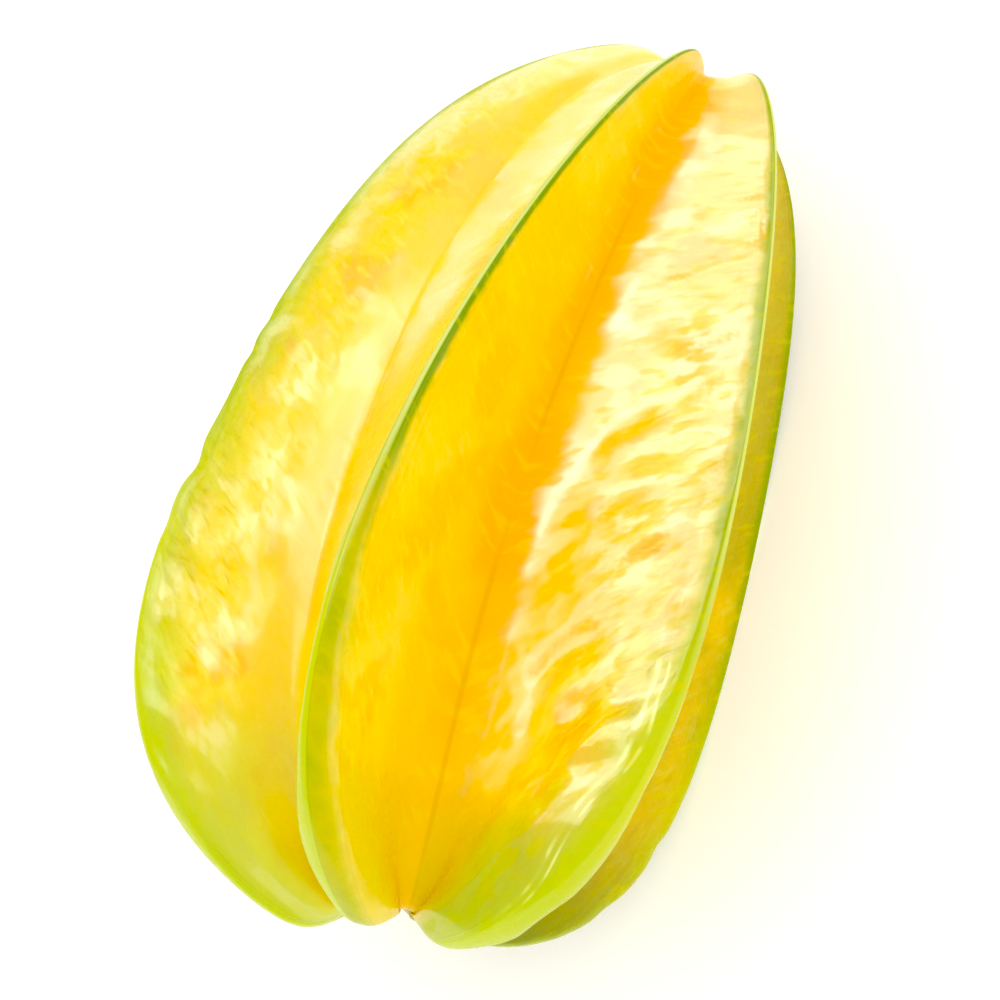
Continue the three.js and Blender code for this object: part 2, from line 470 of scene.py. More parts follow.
@dataclass
class Skin:
    """The whole outside of the fruit: five ribs, five valleys and the two end hollows. In mm."""

    NAME = "ribbed_skin"
    LANES = "lanes"
    LANE_DEPTH = 0.1

    ribs: tuple[Rib, ...] = RIBS
    core: Core = Core()
    section: RibSection = RibSection()
    lie: Lie = Lie()
    stations: int = 240
    puckering: Puckering = Puckering()
    slant: Slant = Slant()
    rib_shift: float = 40.0
    side_shift: float = 200.0
    ripples: tuple[Ripples, ...] = (
        Ripples(7.0, 11.0, 0.60, 37),
        Ripples(3.0, 6.5, 0.26, 11),
        Ripples(1.4, 3.4, 0.07, 23),
    )
    scale: float = 1.0
    move: Grid = field(default_factory=lambda: np.zeros(3))

    def profile(self, along: Grid, reach: Grid, radius: Grid, power: float, hollow: float) -> Grid:
        """Place along the axis of a curve that sinks into the end hollows.

        Args:
            along: cosine of each station, from 1 at the stalk end to -1 at the apex.
            reach: how far the curve would stand out along the axis.
            radius: its distance from the axis.
            power: below 1 it runs straighter along the fruit.
            hollow: the radius of the end hollow.

        Returns:
            reach times along to the power, less a bell-shaped sink about the axis.
        """
        sink = (reach - self.core.floor(along)) * np.exp(-((radius / hollow) ** 2))
        return np.sign(along) * (reach * np.abs(along) ** power - sink)

    def ridge(self, rib: Rib, station: Grid) -> tuple[Grid, Grid]:
        """The ridge of a rib.

        Args:
            rib: the rib.
            station: angles from 0, the stalk end, to pi, the apex.

        Returns:
            Place along the axis and distance from it: height times the sine of the station,
            leaned towards the apex, squared at the shoulders and nicked by the rib's dents.
        """
        along = np.cos(station)
        radius = rib.height * np.sin(station) * (1 - rib.lean * along + rib.fullness * along**2)
        for dent in rib.dents:
            radius = radius - dent.depth * np.exp(-(((along - dent.place) / dent.width) ** 2))
        reach = np.where(along > 0, rib.stalk_reach, rib.apex_reach)
        radius = np.maximum(radius, 0.0)
        return self.profile(along, reach, radius, 1.0, rib.hollow), radius

    def valley(self, full: float, station: Grid) -> tuple[Grid, Grid]:
        """The bottom of a valley.

        Args:
            full: its distance from the axis at mid length.
            station: angles from 0, the stalk end, to pi, the apex.

        Returns:
            Place along the axis and distance from it: full times a power of the station's sine.
        """
        core, along = self.core, np.cos(station)
        radius = full * np.sin(station) ** core.valley_power
        radius = radius * (1 - core.valley_lean * along)
        reach = np.where(along > 0.0, core.valley_reach, core.valley_apex_reach)
        axial = self.profile(along, reach, radius, core.valley_power, core.dimple_radius)
        return axial, radius

    def courses(self, station: Grid) -> tuple[list[Grid], list[Grid]]:
        """Where each ridge, and the valley after it, stands round the axis.

        A valley is half way between its two ridges, moved by its own wander.

        Args:
            station: the stations along the fruit.

        Returns:
            The ridges' angles and the valleys' angles, in radians.
        """
        along = np.cos(station)
        ridges = [rib.course.at(along) for rib in self.ribs]
        following = ridges[1:] + [ridges[0] + 2 * pi]
        valleys = [
            (here + after) / 2 + rib.valley.at(along)
            for rib, here, after in zip(self.ribs, ridges, following)
        ]
        return ridges, valleys

    def half_rib(self, rib: Rib, other: Rib, side: Side, station: Grid, ridge_at: Grid,
                 gap: Grid) -> HalfRib:
        """One flank, as a cubic from the valley to the rim's shoulder and one over the rim.

        Args:
            rib: the rib.
            other: the rib across the flank's valley.
            side: which flank.
            station: the stations along the fruit.
            ridge_at: where the ridge stands round the axis.
            gap: the angle from the valley to the ridge.

        Returns:
            The flank's points in the fruit's own frame, and what finishes need to know of them.
        """
        cut = self.section
        ridge_x, ridge_r = self.ridge(rib, station)
        owner = rib if side is Side.AFTER else other
        valley_x, valley_r = self.valley(owner.valley_radius, station)
        foot_r, foot_out = valley_r * np.cos(gap), valley_r * np.sin(gap)
        climb = np.hypot(ridge_x - valley_x, ridge_r - foot_r) + 1e-9
        along = np.cos(station)
        rim = cut.rim_half_width + cut.rim_low_growth * smooth_step(*cut.rim_low_rise, along)
        rim = rim + cut.rim_apex_growth * smooth_step(*cut.rim_apex_rise, along)
        rim = np.minimum(np.minimum(rim, cut.rim_most * climb), cut.rim_most_of_radius * ridge_r)
        sharp, soft = owner.valley_fillet
        fillet = sharp + (soft - sharp) * smooth_step(*cut.fillet_rise, along)
        fillet = np.minimum(fillet, cut.fillet_most * climb)
        crown = np.minimum(side.of(rib.crowns), cut.crown_most * climb)
        taper = radians(side.of(rib.tapers))
        slope, drop = cos(taper), sin(taper)
        shoulder, edge, flat = climb - rim, cut.rim_shoulder * rim, np.zeros_like(climb)

        flank = np.linspace(0.0, 1.0, cut.flank_columns + 1)
        brow = np.linspace(0.0, 1.0, cut.rim_columns + 1)[1:]
        up = np.hstack([
            cubic(flat, fillet * np.sin(gap), shoulder - crown * slope, shoulder, flank),
            cubic(shoulder, shoulder + edge * slope, climb, climb, brow),
        ])
        out = np.hstack([
            cubic(foot_out, foot_out - fillet * np.cos(gap), rim + crown * drop, rim, flank),
            cubic(rim, rim - edge * drop, cut.rim_crown * rim, flat, brow),
        ])
        axial_share = ((ridge_x - valley_x) / climb)[:, None]
        radial_share = ((ridge_r - foot_r) / climb)[:, None]
        axial = valley_x[:, None] + axial_share * up
        crest = up / climb[:, None]
        pucker = self.puckering.on(crest, station, side.of(rib.deep), climb) * side.of(rib.puckers)
        out = side.value * (out + pucker * self.relief(axial, up, rib, side))
        radial = foot_r[:, None] + radial_share * up
        turn = ridge_at[:, None]
        toward, across = self.core.bend(axial)
        points = np.stack([
            axial,
            radial * np.cos(turn) - out * np.sin(turn) + toward,
            radial * np.sin(turn) + out * np.cos(turn) + across,
        ], axis=-1)
        green = rib.green + 0.5 * (other.green - rib.green) * (1.0 - crest)
        evenly = [np.full_like(crest, side.of(pair)) for pair in (rib.wax, rib.deep, rib.verge)]
        return HalfRib(points, crest, green, up, pucker, *evenly)

    def relief(self, axial: Grid, rise: Grid, rib: Rib, side: Side) -> Grid:
        """The full relief of a flank's puckers.

        Args:
            axial: place along the fruit.
            rise: distance up the flank.
            rib: the rib, which shifts the pattern.
            side: which flank, which shifts the pattern too.

        Returns:
            How far the skin stands out, in mm.
        """
        shift = self.rib_shift * self.ribs.index(rib) + self.side_shift * side.value
        along, across = self.slant.lanes(axial, rise)
        return sum(ripple.over(along + shift, across + shift) for ripple in self.ripples)

    def placed(self, points: Grid) -> Grid:
        """Points of the fruit's own frame, in mm, as places in the scene, in metres."""
        return (self.scale * points @ self.lie.turning().T + self.move) * MM

    def settle(self, points: Grid) -> None:
        """Sets the move that puts the lying skin where the node fruit stands.

        It also sets the scale, a touch under 1, that keeps the finer skin inside the node's box.

        Args:
            points: the skin's points in the fruit's own frame.
        """
        low, high = (np.array(corner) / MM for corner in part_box("fruit"))
        lying = points.reshape(-1, 3) @ self.lie.turning().T
        own_low, own_high = lying.min(axis=0), lying.max(axis=0)
        room = high - low + np.array([0.0, 0.0, self.lie.flat_depth])
        self.scale = min(1.0, float(np.min(room / (own_high - own_low))))
        self.move = (low + high - self.scale * (own_low + own_high)) / 2
        self.move[2] = low[2] - self.scale * own_low[2] - self.lie.flat_depth

    def flanks(self) -> list[HalfRib]:
        """Works out all the flanks.

        Returns:
            The ten flanks in order round the axis: before and after each ridge in turn.
        """
        station = np.linspace(0.0, pi, self.stations + 1)[1:-1]
        ridges, valleys = self.courses(station)
        made = []
        for i, rib in enumerate(self.ribs):
            before = valleys[i - 1] - (0.0 if i else 2 * pi)
            last, following = self.ribs[i - 1], self.ribs[(i + 1) % len(self.ribs)]
            for side, other, gap in ((Side.BEFORE, last, ridges[i] - before),
                                     (Side.AFTER, following, valleys[i] - ridges[i])):
                made.append(self.half_rib(rib, other, side, station, ridges[i], gap))
        return made

    @staticmethod
    def rings(flanks: list[HalfRib], name: str) -> Grid:
        """Joins one grid of every flank into rings round the fruit.

        Args:
            flanks: the flanks in order.
            name: which of their grids.

        Returns:
            The grid of rings by places round them: up one flank, then down the next.
        """
        values = [getattr(flank, name) for flank in flanks]
        turned = [v[:, :-1] if i % 2 == 0 else v[:, :0:-1] for i, v in enumerate(values)]
        return np.concatenate(turned, axis=1)

    def build(self) -> bpy.types.Object:
        """Builds the skin, with a pole at each end, and keeps its traits and lanes on it.

        Returns:
            The skin's object.
        """
        flanks = self.flanks()
        grid = self.rings(flanks, "points")
        rings, around = grid.shape[:2]
        floors = np.array([self.core.stalk_floor, -self.core.apex_floor])
        poles = np.stack([floors, *self.core.bend(floors)], axis=1)
        own = np.vstack([grid.reshape(-1, 3), poles])
        self.settle(own)
        points = self.placed(own)
        points[:, 2] = np.maximum(points[:, 2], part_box("fruit")[0].z)
        last = (rings - 1) * around
        faces = [
            ring_faces(rings, around),
            cap_faces(0, around, len(own) - 2, at_start=True),
            cap_faces(last, around, len(own) - 1, at_start=False),
        ]
        skin = mesh_object(self.NAME, points, faces)
        self.note(skin, flanks, own)
        return skin

    def note(self, skin: bpy.types.Object, flanks: list[HalfRib], own: Grid) -> None:
        """Keeps the traits and the lanes at each vertex, for the finish to read.

        Args:
            skin: the skin's object.
            flanks: the flanks that it is made of.
            own: its points in the fruit's own frame, with the two poles last.
        """
        reach = own[:, 0]
        poles = [0.0, 0.0]
        for trait in Trait:
            if trait is Trait.ALONG:
                values = (reach - reach.min()) / (reach.max() - reach.min())
            else:
                values = np.append(self.rings(flanks, trait.value).ravel(), poles)
            layer = skin.data.attributes.new(trait.value, "FLOAT", "POINT")
            layer.data.foreach_set("value", values.astype(np.float32))
        rise = np.append(self.rings(flanks, "rise").ravel(), poles)
        lanes = np.stack([*self.slant.lanes(reach, rise), own[:, 1] + own[:, 2]], axis=1)
        layer = skin.data.attributes.new(self.LANES, "FLOAT_VECTOR", "POINT")
        layer.data.foreach_set("vector", lanes.astype(np.float32).ravel())


# ---------------------------------------------------------------- finishes


def tint(red: int, green: int, blue: int) -> Colour:
    """Turns the values that a screen shows into a shader's colour, by the sRGB curve.

    Args:
        red: from 0 to 255, like the other two.
        green: the green value.
        blue: the blue value.

    Returns:
        The linear colour, and 1 for its alpha.
    """
    shares = np.array([red, green, blue]) / 255.0
    linear = np.where(shares <= 0.04045, shares / 12.92, ((shares + 0.055) / 1.055) ** 2.4)
    return (*(float(share) for share in linear), 1.0)


class Span(NamedTuple):
    """A smooth rise, or fall, from start to stop as a value goes from low to high."""

    low: float
    high: float
    start: float = 0.0
    stop: float = 1.0


class Mask(NamedTuple):
    """A span over one of the skin's traits."""

    trait: Trait
    low: float
    high: float
    start: float = 0.0
    stop: float = 1.0


Zone = tuple[Mask, ...]


@dataclass(frozen=True)
class Clouds:
    """Uneven cells that follow the puckers: length and width in mm, and how they are graded."""

    length: float
    width: float
    span: Span
    detail: float = 2.0
    roughness: float = 0.5


class Weave:
    """Adds nodes to one shader tree and joins their sockets."""

    def __init__(self, tree: bpy.types.NodeTree) -> None:
        """Starts on an empty tree.

        Args:
            tree: the tree to fill.
        """
        self.tree = tree
        self.tree.nodes.clear()

    def add(self, kind: str, **settings: object) -> bpy.types.Node:
        """Adds a node.

        Args:
            kind: Blender's name for its kind.
            settings: its properties.

        Returns:
            The node.
        """
        node = self.tree.nodes.new(kind)
        for name, value in settings.items():
            setattr(node, name, value)
        return node

    def feed(self, socket: Socket, source: Source) -> None:
        """Gives a socket a value, or joins it to another.

        Args:
            socket: the socket.
            source: a value, or the socket to join it to.
        """
        if isinstance(source, Socket):
            self.tree.links.new(source, socket)
        else:
            socket.default_value = source

    def math(self, operation: str, first: Source, second: Source = 0.0) -> Socket:
        """The result of one sum on two values or sockets.

        Args:
            operation: Blender's name for the sum.
            first: the first value.
            second: the second value, where the sum has one.

        Returns:
            The result.
        """
        node = self.add("ShaderNodeMath", operation=operation)
        self.feed(node.inputs[0], first)
        self.feed(node.inputs[1], second)
        return node.outputs[0]

    def times(self, *factors: Source) -> Socket:
        """The product of its arguments."""
        return reduce(partial(self.math, "MULTIPLY"), factors)

    def plus(self, *terms: Source) -> Socket:
        """The sum of its arguments."""
        return reduce(partial(self.math, "ADD"), terms)

    def most(self, *values: Source) -> Socket:
        """The greatest of its arguments."""
        return reduce(partial(self.math, "MAXIMUM"), values)

    def rest(self, share: Source) -> Socket:
        """What a share leaves of 1."""
        return self.math("SUBTRACT", 1.0, share)

    def grade(self, value: Source, span: Span) -> Socket:
        """A span's smooth rise over a value.

        Args:
            value: the value.
            span: how it is graded.

        Returns:
            The grade.
        """
        node = self.add("ShaderNodeMapRange", interpolation_type="SMOOTHSTEP")
        for name, number in zip(("From Min", "From Max", "To Min", "To Max"), span):
            node.inputs[name].default_value = number
        self.feed(node.inputs["Value"], value)
        return node.outputs["Result"]

    def blend(self, share: Source, first: Source, second: Source) -> Socket:
        """Blends two colours.

        Args:
            share: the share of the second colour, from 0 to 1.
            first: one colour.
            second: the other.

        Returns:
            The blend.
        """
        node = self.add("ShaderNodeMix", data_type="RGBA", clamp_factor=True)
        for name, source in (("Factor", share), ("A", first), ("B", second)):
            self.feed(node.inputs[name], source)
        return node.outputs["Result"]

    def noise(self, vector: Socket, scale: float, detail: float = 2.0,
              roughness: float = 0.55) -> Socket:
        """Cloudy random values.

        Args:
            vector: where to read them.
            scale: clouds to the vector's unit.
            detail: how many finer sizes of cloud are laid over the first.
            roughness: how strong the finer ones are.

        Returns:
            Values from 0 to 1.
        """
        node = self.add("ShaderNodeTexNoise")
        for name, number in (("Scale", scale), ("Detail", detail), ("Roughness", roughness)):
            node.inputs[name].default_value = number
        self.feed(node.inputs["Vector"], vector)
        return node.outputs["Fac"]

    def point(self, x: Source, y: Source = 0.0) -> Socket:
        """Makes a vector of two values.

        Args:
            x: its first value.
            y: its second value.

        Returns:
            The vector.
        """
        node = self.add("ShaderNodeCombineXYZ")
        self.feed(node.inputs["X"], x)
        self.feed(node.inputs["Y"], y)
        return node.outputs[0]

    def attribute(self, name: str) -> Socket:
        """The value that a mesh keeps under a name."""
        return self.add("ShaderNodeAttribute", attribute_name=name).outputs["Fac"]

    def bumped(self, height: Socket, depth: float) -> Socket:
        """Raises a surface in the shader.

        Args:
            height: the relief, from 0 to 1.
            depth: how high 1 is, in metres.

        Returns:
            The normal of the raised surface.
        """
        raised = self.add("ShaderNodeBump")
        raised.inputs["Distance"].default_value = depth
        self.feed(raised.inputs["Height"], height)
        return raised.outputs["Normal"]


class MottleGroup:
    """A node group of uneven growth: broad patches and a fine grain."""

    NAME = "grown mottle"
    DETAILS = {"Patches": 4.0, "Grain": 1.0}

    @classmethod
    def tree(cls) -> bpy.types.NodeTree:
        """The group, built the first time that it is asked for."""
        return bpy.data.node_groups.get(cls.NAME) or cls._build()

    @classmethod
    def _build(cls) -> bpy.types.NodeTree:
        """Builds the group: a noise for each output, on the vector that it is given.

        Returns:
            The group's tree.
        """
        tree = bpy.data.node_groups.new(cls.NAME, "ShaderNodeTree")
        weave = Weave(tree)
        tree.interface.new_socket("Vector", in_out="INPUT", socket_type="NodeSocketVector")
        for name in cls.DETAILS:
            tree.interface.new_socket(name + " Scale", in_out="INPUT", socket_type="NodeSocketFloat")
            tree.interface.new_socket(name, in_out="OUTPUT", socket_type="NodeSocketFloat")
        given, result = weave.add("NodeGroupInput"), weave.add("NodeGroupOutput")
        for name, detail in cls.DETAILS.items():
            node = weave.add("ShaderNodeTexNoise")
            node.inputs["Detail"].default_value = detail
            weave.feed(node.inputs["Vector"], given.outputs["Vector"])
            weave.feed(node.inputs["Scale"], given.outputs[name + " Scale"])
            weave.feed(result.inputs[name], node.outputs["Fac"])
        return tree

    @classmethod
    def place(cls, weave: Weave, vector: Socket, scales: tuple[float, float]) -> list[Socket]:
        """Puts the group in a material.

        Args:
            weave: the material's tree.
            vector: where to read the noises.
            scales: patches and grains to the metre.

        Returns:
            The patches and the grain.
        """
        node = weave.add("ShaderNodeGroup", node_tree=cls.tree())
        weave.feed(node.inputs["Vector"], vector)
        for name, scale in zip(cls.DETAILS, scales):
            node.inputs[name + " Scale"].default_value = scale
        return [node.outputs[name] for name in cls.DETAILS]


class SkinMap:
    """What the skin's finish can read at each place."""

    def __init__(self, weave: Weave, scales: tuple[float, float]) -> None:
        """Reads the skin's traits and the mottle.

        Args:
            weave: the material's tree.
            scales: patches and grains to the metre.
        """
        self.weave = weave
        self.here = weave.add("ShaderNodeTexCoord").outputs["Object"]
        self.traits = {trait: weave.attribute(trait.value) for trait in Trait}
        self.crest, self.along = self.traits[Trait.CREST], self.traits[Trait.ALONG]
        self.deep = self.traits[Trait.DEEP]
        self.shallow = weave.rest(self.deep)
        self.patches, self.grain = MottleGroup.place(weave, self.here, scales)

    def zone(self, *masks: Mask) -> Socket:
        """Multiplies masks, which gives 1 where all of them are.

        Args:
            masks: the masks.

        Returns:
            The product.
        """
        graded = (self.weave.grade(self.traits[mask.trait], Span(*mask[1:])) for mask in masks)
        return self.weave.times(*graded)

    def lanes(self, length: float, width: float) -> Socket:
        """Reads where each place is along and across the puckers.

        Args:
            length: of a cell along the puckers, in mm.
            width: of a cell across them.

        Returns:
            The lanes attribute, in cells.
        """
        node = self.weave.add("ShaderNodeMapping")
        node.inputs["Scale"].default_value = (1.0 / length, 1.0 / width, Skin.LANE_DEPTH)
        source = self.weave.add("ShaderNodeAttribute", attribute_name=Skin.LANES)
        self.weave.feed(node.inputs["Vector"], source.outputs["Vector"])
        return node.outputs["Vector"]

    def clouds(self, kind: Clouds) -> Socket:
        """Lays uneven cells along the puckers.

        Args:
            kind: the cells, and the grading.

        Returns:
            Random values in those cells, graded.
        """
        lanes = self.lanes(kind.length, kind.width)
        return self.weave.grade(self.weave.noise(lanes, 1.0, kind.detail, kind.roughness), kind.span)


@dataclass(frozen=True)
class Flesh:
    """The yellow of the valleys and flanks, with paler and deeper mottles on the puckers."""

    valley: Colour = tint(255, 186, 2)
    flank: Colour = tint(255, 207, 14)
    lemon: Colour = tint(255, 214, 20)
    pale: Colour = tint(255, 226, 70)
    amber: Colour = tint(254, 190, 0)
    wander: Span = Span(0.3, 0.7, -0.1, 0.1)
    border: Span = Span(0.25, 0.0)
    apex_fade: Mask = Mask(Trait.ALONG, 0.02, 0.3)
    uneven: Mask = Mask(Trait.PUCKER, 0.0, 0.6, 0.42, 1.0)
    patch: Span = Span(0.48, 0.62, 0.0, 0.8)
    patch_rise: Mask = Mask(Trait.CREST, 0.1, 0.5)
    spots_to_metre: float = 110.0
    spot: Span = Span(0.53, 0.64, 0.0, 0.7)
    streaks: Clouds = Clouds(4.0, 1.2, Span(0.52, 0.7, 0.0, 0.7))

    def colour(self, skin: SkinMap) -> Socket:
        """Deep yellow in deep valleys and lemon beside shallow ones, with the mottles.

        Args:
            skin: what to read.

        Returns:
            The colour.
        """
        weave = skin.weave
        wandering = weave.plus(skin.crest, weave.grade(skin.patches, self.wander))
        deep = weave.times(weave.grade(wandering, self.border), skin.deep, skin.zone(self.apex_fade))
        colour = weave.blend(skin.shallow, self.flank, self.lemon)
        colour = weave.blend(deep, colour, self.valley)
        uneven = skin.zone(self.uneven)
        light = weave.times(weave.grade(skin.patches, self.patch), skin.zone(self.patch_rise))
        spots = weave.grade(weave.noise(skin.here, self.spots_to_metre), self.spot)
        mottles = ((light, self.pale), (spots, self.amber), (skin.clouds(self.streaks), self.pale))
        for share, tone in mottles:
            colour = weave.blend(weave.times(share, uneven), colour, tone)
        return colour


@dataclass(frozen=True)
class Greening:
    """The green of the apex, and of the ribs that are less ripe, whose darker olive is partly painted
    shade.
    """

    apex: Colour = tint(168, 193, 24)
    # Paler green for shallow flanks at the apex, partly painted sheen in place of a reflection.
    apex_pale_and_sheen: Colour = tint(206, 216, 74)
    # Dark olive of unripe ribs, darkened further as painted shade on the lowest ribs.
    unripe_and_shade: Colour = tint(164, 158, 4)
    unripe_apex_and_shade: Colour = tint(106, 124, 2)
    wander: Span = Span(0.3, 0.7, -0.06, 0.06)
    reach: Span = Span(0.27, 0.02)
    rise: Mask = Mask(Trait.CREST, 0.05, 0.6, 0.34, 0.84)
    shallow_share: float = 0.42
    verge_fade: Mask = Mask(Trait.VERGE, 0.0, -0.06, 1.0, 0.4)
    unripe_patch: Span = Span(0.35, 0.6, 0.35, 0.95)
    unripe_reach: Span = Span(0.0, 0.45)

    def over(self, skin: SkinMap, colour: Socket) -> Socket:
        """Greens the apex, and then the unripe ribs, with their painted shade.

        Args:
            skin: what to read.
            colour: the colour below.

        Returns:
            The colour with the greens.
        """
        weave, green = skin.weave, skin.traits[Trait.GREEN]
        wandering = weave.plus(skin.along, weave.grade(skin.patches, self.wander))
        rise = weave.most(skin.zone(self.rise), weave.times(skin.shallow, self.shallow_share))
        tip = weave.times(weave.grade(wandering, self.reach), rise, skin.zone(self.verge_fade))
        # Shallow flanks take the paler green, partly painted sheen.
        tip_colour = weave.blend(skin.shallow, self.apex, self.apex_pale_and_sheen)
        tip_colour = weave.blend(green, tip_colour, self.unripe_apex_and_shade)
        colour = weave.blend(tip, colour, tip_colour)
        # Unripe olive, partly painted shade.
        unripe_and_shade_colour = weave.blend(weave.grade(tip, self.unripe_reach), self.unripe_and_shade, self.unripe_apex_and_shade)
        unripe_and_shade = weave.times(green, weave.grade(skin.patches, self.unripe_patch))
        return weave.blend(unripe_and_shade, colour, unripe_and_shade_colour)


@dataclass(frozen=True)
class Edging:
    """The green rim: broad towards the apex, and with a dark hairline and a painted highlight along
    its top elsewhere.

    Each loop line, a thin painted highlight, has its place up the flank and its width, as shares of
    the crest.
    """

    rim: Colour = tint(148, 172, 2)
    rim_pale: Colour = tint(194, 208, 22)
    hairline: Colour = tint(116, 150, 0)
    # Colour of the painted highlights on the ridge's top and in the loop lines.
    painted_rim_highlight: Colour = tint(240, 244, 130)
    strength: float = 0.9
    specks_to_metre: float = 420.0
    speck: Span = Span(0.3, 0.7, -0.018, 0.018)
    blotch: Span = Span(0.3, 0.7, -0.06, 0.06)
    dark_zone: Zone = (Mask(Trait.ALONG, 0.25, 0.55), Mask(Trait.VERGE, 0.03, 0.09, 1.0, 0.2))
    dark_verge: Mask = Mask(Trait.VERGE, 0.0, -0.04, 0.0, 0.85)
    broad: Span = Span(0.72, 1.05)
    narrow: Span = Span(0.88, 1.0)
    broad_reach: Mask = Mask(Trait.ALONG, 0.7, 0.15)
    broad_verge: Mask = Mask(Trait.VERGE, 0.0, 0.09, 0.0, 0.8)
    hair_zone: Zone = (Mask(Trait.CREST, 0.93, 0.97, 0.0, 0.85), Mask(Trait.ALONG, 0.3, 0.55),
                       Mask(Trait.VERGE, 0.0, -0.04, 0.3, 1.0))
    # Where the painted highlight runs along the ridge's top.
    top_highlight_zone: Zone = (Mask(Trait.CREST, 0.993, 0.999, 0.0, 0.6), Mask(Trait.ALONG, 0.3, 0.55))
    # The loop lines are painted highlights beside the rim.
    loop_drift: Span = Span(0.3, 0.7, -0.045, 0.045)
    loop_waves: float = 9.0
    loops: tuple[tuple[float, float], ...] = ((0.87, 0.018), (0.92, 0.012))
    loop_core: float = 0.2
    loop_zone: Zone = (Mask(Trait.ALONG, 0.47, 0.36), Mask(Trait.ALONG, 0.06, 0.12),
                       Mask(Trait.WAX, 0.6, 0.9))
    loop_gaps: Clouds = Clouds(5.0, 5.0, Span(0.4, 0.55, 0.1, 0.9), 1.0, 0.55)

    def over(self, skin: SkinMap, colour: Socket) -> Socket:
        """Paints the rim, its hairline, and the painted highlights of its pale top and loop lines.

        Args:
            skin: what to read.
            colour: the colour below.

        Returns:
            The colour with the rim.
        """
        weave = skin.weave
        green = weave.blend(weave.most(skin.zone(*self.dark_zone), skin.zone(self.dark_verge)),
                            self.rim_pale, self.rim)
        colour = weave.blend(weave.times(self.breadth(skin), self.strength), colour, green)
        colour = weave.blend(skin.zone(*self.hair_zone), colour, self.hairline)
        # Painted highlight along the ridge's top.
        colour = weave.blend(skin.zone(*self.top_highlight_zone), colour, self.painted_rim_highlight)
        # Painted highlight loop lines.
        return weave.blend(self.highlight_loops(skin), colour, self.painted_rim_highlight)

    def breadth(self, skin: SkinMap) -> Socket:
        """A broad, blotched rim towards the apex, and a narrow one elsewhere.

        Args:
            skin: what to read.

        Returns:
            1 on the rim and 0 off it.
        """
        weave = skin.weave
        specks = weave.noise(skin.here, self.specks_to_metre)
        edge = weave.plus(skin.crest, weave.grade(specks, self.speck))
        spread = weave.plus(edge, weave.grade(skin.patches, self.blotch), skin.traits[Trait.VERGE])
        low = weave.most(skin.zone(self.broad_reach), skin.zone(self.broad_verge))
        return weave.plus(weave.times(weave.grade(spread, self.broad), low),
                          weave.times(weave.grade(edge, self.narrow), weave.rest(low)))

    def highlight_loops(self, skin: SkinMap) -> Socket:
        """Painted highlights: thin pale lines that wander beside a broad rim, towards the apex.

        Args:
            skin: what to read.

        Returns:
            1 on the lines and 0 off them.
        """
        weave = skin.weave
        place = weave.point(weave.times(skin.along, self.loop_waves))
        drift = weave.grade(weave.noise(place, 1.0, 0.0), self.loop_drift)
        wandering = weave.plus(skin.crest, drift)
        lines = []
        for middle, width in self.loops:
            away = weave.math("ABSOLUTE", weave.math("SUBTRACT", wandering, middle))
            lines.append(weave.grade(away, Span(width, self.loop_core * width)))
        return weave.times(weave.most(*lines), skin.zone(*self.loop_zone), skin.clouds(self.loop_gaps),
                           skin.deep)


